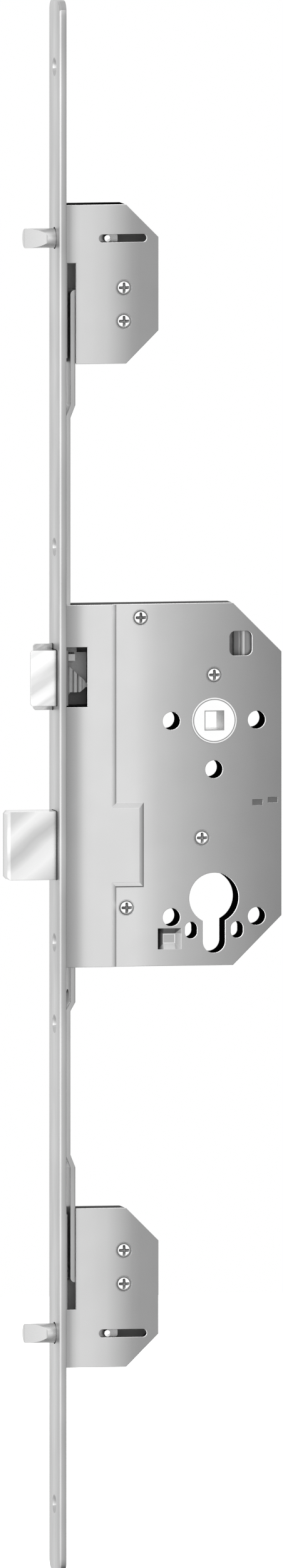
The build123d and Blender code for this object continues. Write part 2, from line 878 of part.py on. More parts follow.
left_x = spine_x - lever_short * cos(half_swing(lever_swing))
left_z = lever_pivot_z + lever_short * sin(half_swing(lever_swing))
left_mid = spine_x - (lever_short + lever_short * cos(half_swing(lever_swing))) / 2
with BuildPart() as lower_slide:
    block(
        slide_left, slide_right, cam_z - rod_travel - cam_slot_r - slide_wall,
        cam_z + rod_travel + cam_slot_r + slide_wall, lower_far, lower_near,
    )
    block(spine_x - spine_half, spine_x + spine_half, lower_tab_bottom, cam_z, lower_far, lower_near)
    block(
        left_mid - lobe_half, spine_x, left_z - lobe_half, left_z + lobe_half,
        lower_far, lower_near,
    )
    slab(
        [
            (foot_back - foot_grip, lower_tab_bottom), (spine_x + spine_half, lower_tab_bottom),
            (spine_x + spine_half, lower_tab_top), (lower_tab_knee, lower_tab_top),
            (lower_tab_knee, lower_tab_low), (foot_back - foot_grip, lower_tab_low),
        ],
        lower_far, lower_near,
    )
    cut = (lower_far + overrun, lower_near - overrun, Mode.SUBTRACT)
    link((cam_x, cam_z), (cam_x + latch_travel, cam_z + rod_travel), cam_slot_r, *cut)
    link((spine_x, lever_pivot_z), (spine_x, lever_pivot_z + rod_travel), pivot_r + slot_gap, *cut)
    link((left_mid - side_play, left_z), (left_mid + side_play, left_z), pin_r + slot_gap, *cut)
    link(foot_post, (foot_post_x, foot_post_z + rod_travel), post_r + cam_gap, *cut)
save(lower_slide, "lower_slide")

bolt_pin_x = spine_x - lever_long * sin(half_swing(lever_swing))
bolt_pin_z = lever_pivot_z - lever_long * cos(half_swing(lever_swing))
bolt_pin_low = lever_pivot_z - lever_long
with BuildPart() as deadbolt_lever:
    disc((spine_x, lever_pivot_z), lever_hub_r, bar_far, strap_near)
    link((spine_x, lever_pivot_z), (bolt_pin_x, bolt_pin_z), lever_tip_r, arm_far, arm_near)
    link((spine_x, lever_pivot_z), (left_x, left_z), lever_tip_r, arm_far, arm_near)
    disc((spine_x, lever_pivot_z), pivot_r + running_gap, bar_far, strap_near, Mode.SUBTRACT)
    for place in ((bolt_pin_x, bolt_pin_z), (left_x, left_z)):
        disc(place, pin_r, arm_far, arm_near, Mode.SUBTRACT)
save(deadbolt_lever, "deadbolt_lever")

with BuildPart() as deadbolt_lever_pins:
    disc((bolt_pin_x, bolt_pin_z), pin_r, bar_far, arm_near)
    disc((left_x, left_z), pin_r, lower_far, arm_near)
save(deadbolt_lever_pins, "deadbolt_lever_pins")

nose_x = lever_post_x - nose_arm * sin(radians(nose_lean))
nose_z = lever_post_z - nose_arm * cos(radians(nose_lean))
with BuildPart() as cylinder_lever:
    disc(lever_post, post_r + hub_wall, lower_far, lower_near)
    link(lever_post, (lift_x, lift_z), lift_tip_r, lower_far, lower_near)
    link(lever_post, (nose_x, nose_z), nose_r, lower_far, lower_near)
    disc(lever_post, post_r + running_gap, lower_far, lower_near, Mode.SUBTRACT)
    disc((lift_x, lift_z), slim_pin_r, lower_far, lower_near, Mode.SUBTRACT)
save(cylinder_lever, "cylinder_lever")

with BuildPart() as cylinder_lever_pin:
    disc((lift_x, lift_z), slim_pin_r, slide_far, lower_near)
save(cylinder_lever_pin, "cylinder_lever_pin")


# Deadbolt
deadbolt_front = plate_front - deadbolt_travel
deadbolt_rear = deadbolt_front + deadbolt_long
half = deadbolt_tall / 2
with BuildPart() as deadbolt:
    block(
        deadbolt_front, deadbolt_rear, -deadbolt_drop - half, -deadbolt_drop + half,
        deadbolt_thick / 2, -deadbolt_thick / 2,
    )
    tip = deadbolt.faces().sort_by(Axis.X)[0]
    chamfer(tip.edges(), deadbolt_trim)
    block(
        deadbolt_rear - overrun, bolt_pin_x + pin_r + slot_gap + slot_wall, tail_bottom, tail_top,
        bar_far, bar_near,
    )
    link(
        (bolt_pin_x, bolt_pin_z), (bolt_pin_x, bolt_pin_low), pin_r + slot_gap,
        bar_far + overrun, bar_near - overrun, Mode.SUBTRACT,
    )
save(deadbolt, "deadbolt")


# Drive rods
def rod_bar(points):
    """Flat strip bent flatwise, from the places of its left face on the way up."""
    backs = [(x + rod_thick, z) for x, z in reversed(points)]
    slab(points + backs, rod_wide / 2, -rod_wide / 2)


def low_left(edge):
    """Least for the edge at the lower left corner, seen from the cover side."""
    return edge.center().Z + edge.center().X


def high_left(edge):
    return edge.center().X - edge.center().Z


def rod_cuts(places, wide):
    """Slots through a rod for a screw, from one z to another."""
    for low, high in places:
        with BuildSketch(Plane.YZ.offset(rod_left - overrun)) as slot:
            with Locations((0, (low + high) / 2)):
                SlotCenterToCenter(high - low, wide, rotation=90)
        extrude(slot.sketch, amount=rod_thick + rod_step + 2 * overrun, mode=Mode.SUBTRACT)


def rod_window(height, end):
    """Window for the nose of a crank, open through the hook up to the rod's end."""
    block(
        outer_left - overrun, outer_left + rod_thick + overrun, height - window_half_tall,
        height + window_half_tall, window_half_wide, -window_half_wide, Mode.SUBTRACT,
    )
    block(
        outer_left + rod_thick, outer_left + rod_hook + overrun, min(end, height), max(end, height),
        window_half_wide, -window_half_wide, Mode.SUBTRACT,
    )


outer_left = rod_left + rod_step
with BuildPart() as upper_rod:
    rod_bar([
        (rod_left, foot_z), (rod_left, rod_step_z - rod_step_long),
        (outer_left, rod_step_z), (outer_left, rod_end_z),
    ])
    block(outer_left, outer_left + rod_hook, rod_end_z - rod_thick, rod_end_z, rod_wide / 2, -rod_wide / 2)
    block(rod_left, foot_back, foot_z, foot_z + rod_thick, rod_wide / 2, -rod_wide / 2)
    block(
        foot_back - foot_grip, foot_back + overrun, foot_z - overrun, foot_z + rod_thick + overrun,
        rod_wide / 2 + overrun, slide_near, Mode.SUBTRACT,
    )
    bends = upper_rod.edges().filter_by(Axis.Y)
    fillet([bends.sort_by(corner)[0] for corner in (low_left, high_left)], rod_bend_r)
    rod_cuts([(screw_heights[2] - rod_travel, screw_heights[2])], rod_slot)
    rod_window(rod_pin_z, rod_end_z)
save(upper_rod, "upper_rod")

with BuildPart() as lower_rod:
    low_end, low_step = 2 * plate_mid - rod_end_z, 2 * plate_mid - rod_step_z
    rod_bar([
        (outer_left, low_end), (outer_left, low_step), (rod_left, low_step + rod_step_long),
        (rod_left, lower_step_low), (outer_left, lower_step_high), (outer_left, lower_foot_z),
    ])
    block(outer_left, outer_left + rod_hook, low_end, low_end + rod_thick, rod_wide / 2, -rod_wide / 2)
    block(
        outer_left, foot_back, lower_foot_z - rod_thick, lower_foot_z,
        rod_wide / 2, -rod_wide / 2,
    )
    block(
        foot_back - foot_grip, foot_back + overrun, lower_foot_z - rod_thick - overrun,
        lower_foot_z + overrun, rod_wide / 2 + overrun, lower_near, Mode.SUBTRACT,
    )
    bends = lower_rod.edges().filter_by(Axis.Y)
    fillet([bends.sort_by(corner)[0] for corner in (low_left, high_left)], rod_bend_r)
    rod_cuts([(height, height + rod_travel) for height in (screw_heights[3], cylinder_screw_z)], rod_slot)
    rod_window(2 * plate_mid - rod_pin_z, low_end)
save(lower_rod, "lower_rod")


# Outer bolt boxes: the upper one is drawn, and the lower one is the same turned over
box_sizes = (plate_back + box_deep, box_bottom, box_top, box_corner)
bolt_front = plate_front - bolt_travel
crank_place = (crank_x, crank_z)
rod_nose = (crank_x - crank_short * cos(half_swing(crank_swing)), rod_pin_z)
bolt_nose = (
    crank_x - crank_long * sin(half_swing(crank_swing)),
    crank_z + crank_long * cos(half_swing(crank_swing)),
)
box_out = raised_out
box_in = raised_in

with BuildPart() as upper_box_tray:
    slab(case_outline(*box_sizes), back_out, box_in)
    slab(case_outline(*box_sizes, inset=sheet), back_in, box_in - overrun, Mode.SUBTRACT)
    block(plate_back, wall_back, box_bottom, box_top, back_out, box_in)
    block(
        plate_back - overrun, rod_right + rod_step + rod_way, box_bottom - overrun,
        box_bottom + sheet + overrun, back_in, box_in - overrun, Mode.SUBTRACT,
    )
    with BuildSketch(Plane.YZ.offset(plate_back - overrun)):
        with Locations((0, bolt_z)):
            Circle(bolt_hole / 2)
    extrude(amount=sheet + 2 * overrun, mode=Mode.SUBTRACT)

with BuildPart() as upper_box_cover:
    slab(case_outline(*box_sizes), box_in, box_out)
    block(
        plate_back - overrun, notch_back, box_bottom - overrun, box_bottom + notch_tall,
        box_in + overrun, box_out - overrun, Mode.SUBTRACT,
    )
    link(
        (guide_left + guide_slot_r, bolt_z), (guide_right - guide_slot_r, bolt_z), guide_slot_r,
        box_in + overrun, box_out - overrun, Mode.SUBTRACT,
    )
    screw_seats(box_screw_places, box_out)

upper_box_screws = cross_screws(box_screw_places, box_out)
upper_box_posts = threaded_posts(box_screw_places, box_in)

with BuildPart() as upper_bolt_bush:
    block(wall_back, wall_back + bush_long, bolt_z - bush_half, bolt_z + bush_half, bush_side, -bush_side)
    with BuildSketch(Plane.YZ.offset(wall_back - overrun)):
        with Locations((0, bolt_z)):
            Circle(bolt_r + running_gap)
    extrude(amount=bush_long + 2 * overrun, mode=Mode.SUBTRACT)

with BuildPart() as upper_crank_pin:
    disc(crank_place, slim_pin_r, back_in, box_in)

with BuildPart() as upper_crank:
    disc(crank_place, crank_hub_r, crank_hub_side, -crank_hub_side)
    for nose in (rod_nose, bolt_nose):
        link(crank_place, nose, crank_neck, crank_side, -crank_side)
        disc(nose, crank_nose_r, crank_side, -crank_side)
    disc(crank_place, slim_pin_r + running_gap, crank_hub_side, -crank_hub_side, Mode.SUBTRACT)

pocket_half = crank_nose_r + slot_gap
pocket_top = crank_z + crank_long + crank_nose_r + cam_gap
pin_place = (guide_pin_x, bolt_z)
bolt_flat_y = sqrt(bolt_r**2 - (bolt_flat_wide / 2) ** 2)
with BuildPart() as upper_bolt:
    with BuildSketch(Plane.YZ.offset(bolt_front)):
        with Locations((0, bolt_z)):
            Circle(bolt_r)
    extrude(amount=bolt_round_long)
    chamfer(upper_bolt.faces().sort_by(Axis.X)[0].edges(), bolt_trim)
    slab(
        [
            (bolt_tail_root, bolt_z - bolt_tail_low), (bolt_tail_knee, bolt_z - bolt_tail_low),
            (bolt_tail_knee, bolt_z - bolt_tail_shelf), (bolt_tail_end, bolt_z - bolt_tail_shelf),
            (bolt_tail_end, bolt_z + bolt_tail_rear),
            (bolt_tail_end - bolt_tail_trim, bolt_z + bolt_tail_high),
            (bolt_tail_root, bolt_z + bolt_tail_high),
        ],
        bolt_tail_side, -bolt_tail_side,
    )
    block(
        bolt_nose[0] - pocket_half, bolt_nose[0] + pocket_half, bolt_z - 2 * bolt_tail_low, pocket_top,
        crank_side + slot_gap, -crank_side - slot_gap, Mode.SUBTRACT,
    )
    with BuildSketch(Plane.XY.offset(bolt_z - bolt_r)) as wedge:
        with BuildLine():
            Polyline(
                (bolt_front + bolt_flat_long, -2 * bolt_r), (bolt_front + bolt_flat_long, -bolt_flat_y),
                (bolt_front, 0), (bolt_front - overrun, 0), (bolt_front - overrun, -2 * bolt_r), close=True,
            )
        make_face()
    extrude(wedge.sketch, amount=2 * bolt_r, mode=Mode.SUBTRACT)

with BuildPart() as upper_guide_pin:
    disc(pin_place, guide_pin_r, -bolt_tail_side, box_out + guide_pin_sunk)

box_pieces = {
    "box_tray": upper_box_tray, "box_cover": upper_box_cover, "box_screws": upper_box_screws,
    "box_posts": upper_box_posts, "bolt_bush": upper_bolt_bush, "crank_pin": upper_crank_pin,
    "crank": upper_crank, "bolt": upper_bolt, "guide_pin": upper_guide_pin,
}
for name, piece in box_pieces.items():
    save(piece, f"upper_{name}")
    save(mirrored(piece), f"lower_{name}")
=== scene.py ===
"""Looks of the multipoint door lock: its metals, domed screws and pins, the studio light and the camera."""
import json
import math

import bmesh
import bpy
from mathutils import Matrix, Vector


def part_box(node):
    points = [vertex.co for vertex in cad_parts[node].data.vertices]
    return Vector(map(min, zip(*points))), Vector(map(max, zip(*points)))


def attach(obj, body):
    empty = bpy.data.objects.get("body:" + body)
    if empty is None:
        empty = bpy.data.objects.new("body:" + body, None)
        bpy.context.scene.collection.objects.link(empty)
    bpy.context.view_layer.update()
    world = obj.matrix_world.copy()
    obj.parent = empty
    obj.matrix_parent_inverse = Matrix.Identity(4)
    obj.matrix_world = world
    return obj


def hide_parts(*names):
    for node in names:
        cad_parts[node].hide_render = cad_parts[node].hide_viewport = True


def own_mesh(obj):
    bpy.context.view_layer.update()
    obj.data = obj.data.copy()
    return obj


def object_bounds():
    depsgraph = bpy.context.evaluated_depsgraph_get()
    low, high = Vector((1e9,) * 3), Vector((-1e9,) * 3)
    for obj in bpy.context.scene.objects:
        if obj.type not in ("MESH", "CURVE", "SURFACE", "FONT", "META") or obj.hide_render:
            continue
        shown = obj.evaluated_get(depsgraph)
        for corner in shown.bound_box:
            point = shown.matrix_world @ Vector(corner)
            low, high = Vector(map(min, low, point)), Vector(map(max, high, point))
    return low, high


MM = 0.001
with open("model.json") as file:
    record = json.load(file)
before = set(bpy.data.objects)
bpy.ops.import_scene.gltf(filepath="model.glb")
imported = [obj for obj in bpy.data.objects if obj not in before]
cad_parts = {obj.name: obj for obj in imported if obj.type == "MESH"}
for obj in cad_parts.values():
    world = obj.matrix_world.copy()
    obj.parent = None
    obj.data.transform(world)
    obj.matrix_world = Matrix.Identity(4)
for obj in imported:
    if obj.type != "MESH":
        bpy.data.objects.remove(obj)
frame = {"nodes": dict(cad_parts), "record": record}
cad_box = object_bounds()
nodes = frame["nodes"]
scene = bpy.context.scene


# Camera, without perspective, at the photograph's angle; the part's origin is at this place in its pixels
IMAGE_TALL = 2506
IMAGE_WIDE = 452
PIXELS_PER_MM = 3.65
TURN = math.radians(11.3)
LIFT = math.radians(4.3)
ORIGIN_X = 337.4
ORIGIN_Y = 1149.6
CAMERA_AWAY = 3.0
CAMERA_REACH = 40

right = Vector((math.cos(TURN), -math.sin(TURN), 0))
ahead = Vector((math.sin(TURN) * math.cos(LIFT), math.cos(TURN) * math.cos(LIFT), -math.sin(LIFT)))
up = right.cross(ahead)
aim = right * (IMAGE_WIDE / 2 - ORIGIN_X) + up * (ORIGIN_Y - IMAGE_TALL / 2)
camera_data = bpy.data.cameras.new("camera")
camera_data.type = "ORTHO"
camera_data.sensor_fit = "VERTICAL"
camera_data.ortho_scale = IMAGE_TALL / PIXELS_PER_MM * MM
camera_data.clip_end = CAMERA_REACH
camera = bpy.data.objects.new("camera", camera_data)
scene.collection.objects.link(camera)
camera.matrix_world = (
    Matrix.Translation(aim / PIXELS_PER_MM * MM - ahead * CAMERA_AWAY)
    @ Matrix((right, up, -ahead)).transposed().to_4x4()
)
scene.camera = camera
scene.view_settings.view_transform = "Standard"


# Places in mm, in the part's own frame; boxes are left, right, low and high
FAR = 400
PLATE_FRONT = -70
PLATE_GAP = (PLATE_FRONT - 0.5, PLATE_FRONT + 0.1)
MIRROR_Z = -28
BOLT_Z = 212.4
BOLT_FLAT = (-90, -73.9)
BOLT_TAIL_FROM = -64
LATCH_INSIDE_FROM = -66.9
KEY_PIN_Z = (24, 31)
COVER_X = (-66, 30)
PANEL_EDGE = -45.9
TAB_EDGE = -33.6
SLOPE_RUN = 2.2
TAB_TOP_Z = (-60, -34)
TAB_FOOT = (-46.5, -31, -72.8, -70.4)
DISH = (-25.15, -14.65, -100.2, -91.0)
DISH_LINE = 2.5
DISH_FLOOR = 2.85
SIGHT_WINDOW_Z = (24, FAR)
TRAY_MOUTH = -6.45
TRAY_FLOOR = 6.3
TRAY_BACK = 7.6
SQUARE_WALL = 4.04
SQUARE_RIM = 4.4


def mirrored(z):
    """The place in the lower half that stands opposite a place in the upper one."""
    return 2 * MIRROR_Z - z


# Shares of the light that sheet and polished metal give back, and of a grey that bevels and upward faces keep
# as painted shade
DULL = 0.8
POLISH = 0.8
UPWARD_SHADE_SHARE = 0.72
TAB_TOP_SHADE_SHARE = 0.83
TAB_SLOPE_SHADE_SHARE = 0.74

# Greys of the painted highlight on cut edges and of the painted shade line in the gap about the bolts
EDGE_HIGHLIGHT_GREY = 252
GAP_SHADE_GREY = 105

# Shares of a normal along an axis: below STEEP a face is square to the axis, above either it points that way
STEEP = 0.3
SLOPED = 0.2

# Low and high end of the noise that shows, grain sizes and height of the relief in mm
NOISE_SHOWN = (0.35, 0.65)
PATCHES = (22, 22, 22)
SOFT_GRAIN = (0.7, 0.7, 0.7)
FINE_GRAIN = (0.5, 0.5, 0.5)
SMOOTH_GRAIN = (0.3, 0.3, 0.3)
DRAWN_GRAIN = (1.4, 0.3, 0.3)
RELIEF = 0.03


def tone(grey):
    """Linear value of a grey from 0 to 255, as it shows on a screen."""
    return ((grey / 255 + 0.055) / 1.055) ** 2.4


def shaded(stops, share):
    """The same stops, darker by a share, as painted shade."""
    return [(place, share * grey) for place, grey in stops]


class Nodes:
    """Short way to add and join shader nodes."""

    def __init__(self, tree):
        self.tree = tree

    def add(self, kind, **values):
        node = self.tree.nodes.new(kind)
        for key, value in values.items():
            if hasattr(node, key):
                setattr(node, key, value)
            else:
                node.inputs[key.replace("_", " ")].default_value = value
        return node

    def join(self, out, into):
        self.tree.links.new(out, into)

    def feed(self, value, socket):
        """Give a socket a number, or the outcome of another node."""
        if isinstance(value, (int, float)):
            socket.default_value = value
        else:
            self.join(value, socket)

    def math(self, operation, first, second):
        node = self.add("ShaderNodeMath", operation=operation)
        self.feed(first, node.inputs[0])
        self.feed(second, node.inputs[1])
        return node.outputs[0]

    def span(self, value, low, high, to_low=0.0, to_high=1.0):
        """A value that runs between two numbers, made to run between two others."""
        node = self.add("ShaderNodeMapRange", From_Min=low, From_Max=high, To_Min=to_low, To_Max=to_high)
        self.join(value, node.inputs["Value"])
        return node.outputs["Result"]

    def ramp(self, value, stops, gain=1.0):
        """Greys at shares of 0..1 of a value."""
        node = self.add("ShaderNodeValToRGB")
        elements = node.color_ramp.elements
        while len(elements) < len(stops):
            elements.new(1.0)
        for element, (share, grey) in zip(elements, stops):
            element.position = share
            element.color = (tone(grey) * gain, tone(grey) * gain, tone(grey) * gain, 1)
        self.join(value, node.inputs["Fac"])
        return node.outputs["Color"]

    def mix(self, mask, first, second, blend="MIX"):
        """The first colour where a mask is zero, the second where it is one."""
        node = self.add("ShaderNodeMix", data_type="RGBA", blend_type=blend)
        for value, place in ((mask, 0), (first, 6), (second, 7)):
            self.feed(value, node.inputs[place])
        return node.outputs[2]


class Metal(Nodes):
    """A metal's nodes, in the part's own coordinates."""

    def __init__(self, name):
        self.material = bpy.data.materials.new(name)
        self.material.use_nodes = True
        super().__init__(self.material.node_tree)
        self.shader = self.tree.nodes["Principled BSDF"]
        self.where = self.add("ShaderNodeTexCoord").outputs["Object"]
        self.axes = self.add("ShaderNodeSeparateXYZ")
        self.join(self.where, self.axes.inputs[0])

    def noise(self, sizes, turn=0.0, detail=2.0):
        """Noise with grains of these sizes in mm, turned about the Y axis."""
        place = self.add("ShaderNodeMapping", vector_type="TEXTURE")
        place.inputs["Rotation"].default_value = (0, turn, 0)
        place.inputs["Scale"].default_value = [size * MM for size in sizes]
        self.join(self.where, place.inputs["Vector"])
        noise = self.add("ShaderNodeTexNoise", Scale=1.0, Detail=detail)
        self.join(place.outputs[0], noise.inputs["Vector"])
        return noise.outputs["Fac"]

    def clouds(self, sizes, low, high, gain=1.0):
        """Soft patches of these sizes in mm, between two greys."""
        return self.ramp(self.span(self.noise(sizes), *NOISE_SHOWN), [(0, low), (1, high)], gain)

    def times(self, first, second):
        """One colour dimmed by another."""
        return self.mix(1.0, first, second, "MULTIPLY")

    def along(self, axis, stops, gain=DULL):
        """Greys at places in mm along an axis."""
        first, last = stops[0][0], stops[-1][0]
        share = self.span(self.axes.outputs[axis], first * MM, last * MM)
        return self.ramp(share, [((place - first) / (last - first), grey) for place, grey in stops], gain)

    def flat(self, grey, gain=DULL):
        """One grey all over."""
        return self.along("X", [(-FAR, grey), (FAR, grey)], gain)

    def around(self, stops):
        """Greys at distances in mm from the Y axis."""
        flat = self.add("ShaderNodeVectorMath", operation="MULTIPLY")
        self.join(self.where, flat.inputs[0])
        flat.inputs[1].default_value = (1, 0, 1)
        length = self.add("ShaderNodeVectorMath", operation="LENGTH")
        self.join(flat.outputs[0], length.inputs[0])
        share = self.span(length.outputs["Value"], 0, stops[-1][0] * MM)
        return self.ramp(share, [(place / stops[-1][0], grey) for place, grey in stops])

    def both(self, first, second):
        """One where two masks are one, else zero."""
        return self.math("MULTIPLY", first, second)

    def between(self, axis, low, high):
        """One where a place along an axis lies between two values in mm, else zero."""
        value = self.axes.outputs[axis]
        return self.both(
            self.math("GREATER_THAN", value, low * MM), self.math("LESS_THAN", value, high * MM)
        )

    def box(self, left, right, low, high):
        """One inside a box given in mm along X and Z, else zero."""
        return self.both(self.between("X", left, right), self.between("Z", low, high))

    def facing(self, axis):
        """How far a face points along an axis, from -1 to 1."""
        axes = self.add("ShaderNodeSeparateXYZ")
        self.join(self.add("ShaderNodeNewGeometry").outputs["True Normal"], axes.inputs[0])
        return axes.outputs[axis]

    def square_to(self, axis, most=STEEP):
        """One on the faces that lean towards an axis by less than a share, else zero."""
        return self.math("LESS_THAN", self.math("ABSOLUTE", self.facing(axis), 0), most)

    def faces_to(self, axis, least=STEEP):
        """One on the faces that point along an axis by more than a share, else zero."""
        return self.math("GREATER_THAN", self.facing(axis), least)

    def dull_where(self, mask):
        """Matt, without gloss, where a mask is one, and metal elsewhere."""
        self.shader.inputs["Specular IOR Level"].default_value = 0.0
        self.join(self.math("SUBTRACT", 1, mask), self.shader.inputs["Metallic"])

    def finish(self, colour, rough, grain, depth, edge, mottle, metallic=1.0):
        """Mottle the colour, give the gloss and the relief their grain, and soften the edges."""
        haze = self.clouds(PATCHES, 255 - 2 * mottle, 255)
        self.join(self.times(colour, haze), self.shader.inputs["Base Color"])
        self.shader.inputs["Metallic"].default_value = metallic
        fine = self.noise(grain, detail=3.0)
        self.join(self.span(fine, 0.3, 0.7, rough - 0.04, rough + 0.06), self.shader.inputs["Roughness"])
        bump = self.add("ShaderNodeBump", Strength=depth, Distance=RELIEF * MM)
        self.join(fine, bump.inputs["Height"])
        if edge:
            bevel = self.add("ShaderNodeBevel", samples=4, Radius=edge * MM)
            self.join(bevel.outputs[0], bump.inputs["Normal"])
        self.join(bump.outputs[0], self.shader.inputs["Normal"])
        return self.material


# Sheet metals, with painted light and shade as greys at places across them
CASE_SHADING = [
    (-67, 150), (-64.9, 156), (-63.3, 165), (-61.6, 177), (-58.3, 211), (-56.6, 217), (-53.9, 219),
    (-38, 218), (-34.8, 216), (-24.9, 197), (-13.3, 182), (19.9, 147), (30, 139),
]
BOX_SHADING = [
    (-67, 162), (-64.9, 167), (-63.3, 193), (-61.6, 207), (-59.9, 212), (-55, 210), (-48.3, 202),
    (-36.7, 161), (-33.4, 155), (-25, 153),
]
SLOPE_SHADING = [
    (0, 255), (0.4, 252), (0.7, 244), (1.0, 234), (1.3, 222), (1.55, 210), (1.7, 205), (1.75, 168),
    (SLOPE_RUN, 168),
]


def tab_foot(kit, walls, pale):
    """The lower bevel of the raised tab, matt as the walls are, in painted shade that darkens to a line at
    its foot; the walls elsewhere keep their pale painted highlight.
    """
    foot = kit.both(kit.math("SUBTRACT", 1, kit.faces_to("Z", -STEEP)), kit.box(*TAB_FOOT))
    greys = kit.along("Z", [(-72.7, 80), (-72.2, 84), (-72.1, 157), (-70.5, 161)], 1.0)
    return kit.math("MAXIMUM", walls, foot), kit.mix(foot, pale, greys)


def raised_slopes(kit, colour, upward, stops):
    """The other bevels of the raised panel, with painted light and shade: a paler top, and sides whose
    painted highlight fades to a painted shade line.
    """
    tab_top = kit.both(upward, kit.between("Z", *TAB_TOP_Z))
    colour = kit.mix(tab_top, colour, kit.along("X", shaded(stops, TAB_TOP_SHADE_SHARE)))
    for edge, gain in ((PANEL_EDGE, 1.0), (TAB_EDGE, TAB_SLOPE_SHADE_SHARE)):
        slope = kit.both(kit.faces_to("X", SLOPED), kit.between("X", edge - 0.1, edge + SLOPE_RUN))
        greys = kit.along("X", [(edge + run, grey) for run, grey in SLOPE_SHADING], gain)
        colour = kit.mix(slope, colour, greys)
    return colour


def dish_shading(kit, colour):
    """The pressed square, its light and shade painted: a dark left wall, a light right one, and a painted
    highlight line about its floor.
    """
    left, right, low, high = DISH
    shade = kit.along("X", [
        (left, 30), (left + 0.9, 40), (left + 1.6, 95), (left + 2.6, 150), (left + 2.7, 184),
        (right - 2.7, 180), (right - 2.6, 150), (right - 0.2, 172), (right, 235),
    ])
    fade = kit.along("Z", [(low, 255), (high - 2.3, 250), (high - 2.2, 205), (high, 225)], 1.0)
    colour = kit.mix(kit.box(*DISH), colour, kit.times(shade, fade))
    line = kit.along("X", [(left, 235), (right, 215)])
    for inset, fill in ((DISH_LINE, line), (DISH_FLOOR, shade)):
        inside = kit.box(left + inset, right - inset, low + inset, high - inset)
        colour = kit.mix(inside, colour, fill)
    return colour


def cover_metal(name, stops, pressed=False):
    """Zinc-plated sheet with painted light and shade across its width, a painted highlight on its cut edges,
    and the case's pressings.
    """
    kit = Metal(name)
    walls, pale = kit.square_to("Y"), kit.flat(EDGE_HIGHLIGHT_GREY, 1.0)
    if pressed:
        walls, pale = tab_foot(kit, walls, pale)
    kit.dull_where(walls)
    upward = kit.both(kit.faces_to("Z"), kit.between("X", *COVER_X))
    # Faces that point up take a darker copy of the greys, as painted shade.
    colour = kit.mix(upward, kit.along("X", stops), kit.along("X", shaded(stops, UPWARD_SHADE_SHARE)))
    if pressed:
        colour = dish_shading(kit, raised_slopes(kit, colour, upward, stops))
    colour = kit.mix(walls, colour, pale)
    return kit.finish(colour, rough=0.38, grain=FINE_GRAIN, depth=0.12, edge=0.35, mottle=2)


def tray_metal(name, stops, wall, floor_shading, window_shading=None):
    """The same sheet outside, with narrow walls painted dark as shade, a pale front rim, and painted light
    and shade inside.
    """
    kit = Metal(name)
    dark = kit.between("Y", TRAY_MOUTH, TRAY_BACK)
    base = kit.along("X", floor_shading)
    if window_shading:
        base = kit.mix(kit.between("Z", *SIGHT_WINDOW_Z), base, kit.along("X", window_shading))
    # The wall grey is painted shade on the narrow walls; the floor and window greys are painted light and
    # shade inside.
    inside = kit.mix(kit.between("Y", TRAY_FLOOR, TRAY_BACK), kit.flat(wall), base)
    colour = kit.mix(dark, kit.along("X", stops), inside)
    kit.dull_where(dark)
    return kit.finish(colour, rough=0.5, grain=FINE_GRAIN, depth=0.12, edge=0.35, mottle=2)


def faceplate_metal():
    """Brushed stainless with painted light and shade: front graded across its width, the edges across their
    thickness, and upward faces darker.
    """
    kit = Metal("brushed_stainless")
    front = kit.along("Y", [(-12, 156), (-8, 158), (0, 182), (8, 166), (12, 160)])
    side = kit.along("X", [(-70, 220), (-69.7, 208), (-69.2, 192), (-68.4, 182), (-67.5, 172), (-67, 162)])
    colour = kit.mix(kit.between("X", PLATE_FRONT + 0.1, -60), front, side)
    # Faces that point up are painted darker, as shade.
    colour = kit.mix(kit.faces_to("Z", SLOPED), colour, kit.flat(150))
    colour = kit.times(colour, kit.clouds((60, 14, 45), 236, 255))
    return kit.finish(colour, rough=0.34, grain=(0.3, 0.3, 18), depth=0.15, edge=0.35, mottle=2)


# Metals of the other pieces
def plain_metal(name, low, high, rough=0.35, grain=FINE_GRAIN, depth=0.2, edge=0.25, metallic=1.0, gain=DULL):
    """Metal of one shade with a slow mottle."""
    kit = Metal(name)
    colour = kit.clouds((9, 9, 9), low, high, gain)
    return kit.finish(colour, rough, grain, depth, edge, mottle=2, metallic=metallic)


def nickel_ends(kit, colour):
    """Painted shade on the ends, tops and bottoms, and a painted shade line in the gap of the faceplate."""
    ends = kit.along("Y", [(-11, 190), (2, 175), (3, 140), (11, 140)])
    colour = kit.mix(kit.square_to("Y"), colour, ends)
    return kit.mix(kit.between("X", *PLATE_GAP), colour, kit.flat(GAP_SHADE_GREY))


def polished_metal(name, low, high, across, along, shade_from=None):
    """Polished nickel with soft painted reflection bands that lean over it, and a plain end painted dark as
    shade inside the case.
    """
    kit = Metal(name)
    bands = kit.span(kit.noise((across, 30, along), turn=0.31 * math.pi), 0.38, 0.6)
    colour = kit.ramp(bands, [(0, low), (0.45, (low + high) / 2), (1, high)], POLISH)
    colour = nickel_ends(kit, colour)
    if shade_from is not None:
        colour = kit.mix(kit.between("X", shade_from, 0), colour, kit.flat(110))
    return kit.finish(colour, rough=0.2, grain=DRAWN_GRAIN, depth=0.05, edge=0.3, mottle=1)


def deadbolt_metal():
    """Polished nickel with broad painted reflection bands that lean over its cheeks, and painted shade on its
    end.
    """
    kit = Metal("deadbolt_nickel")
    side_step = kit.math("MULTIPLY", kit.axes.outputs["X"], 0.79)
    leaning = kit.math("SUBTRACT", kit.axes.outputs["Z"], side_step)
    soft = kit.math("ADD", leaning, kit.span(kit.noise((24, 24, 24)), 0.3, 0.7, -1.2 * MM, 1.2 * MM))
    bands = [
        (-16, 190), (-11, 196), (-6, 220), (-1, 240), (5, 232), (8.5, 208), (11.8, 196), (15, 208),
        (19, 234), (22, 242), (27, 212), (36, 200),
    ]
    low, high = bands[0][0], bands[-1][0]
    shares = [((where - low) / (high - low), grey) for where, grey in bands]
    colour = kit.ramp(kit.span(soft, low * MM, high * MM), shares, POLISH)
    colour = nickel_ends(kit, colour)
    return kit.finish(colour, rough=0.2, grain=DRAWN_GRAIN, depth=0.05, edge=0.3, mottle=1)


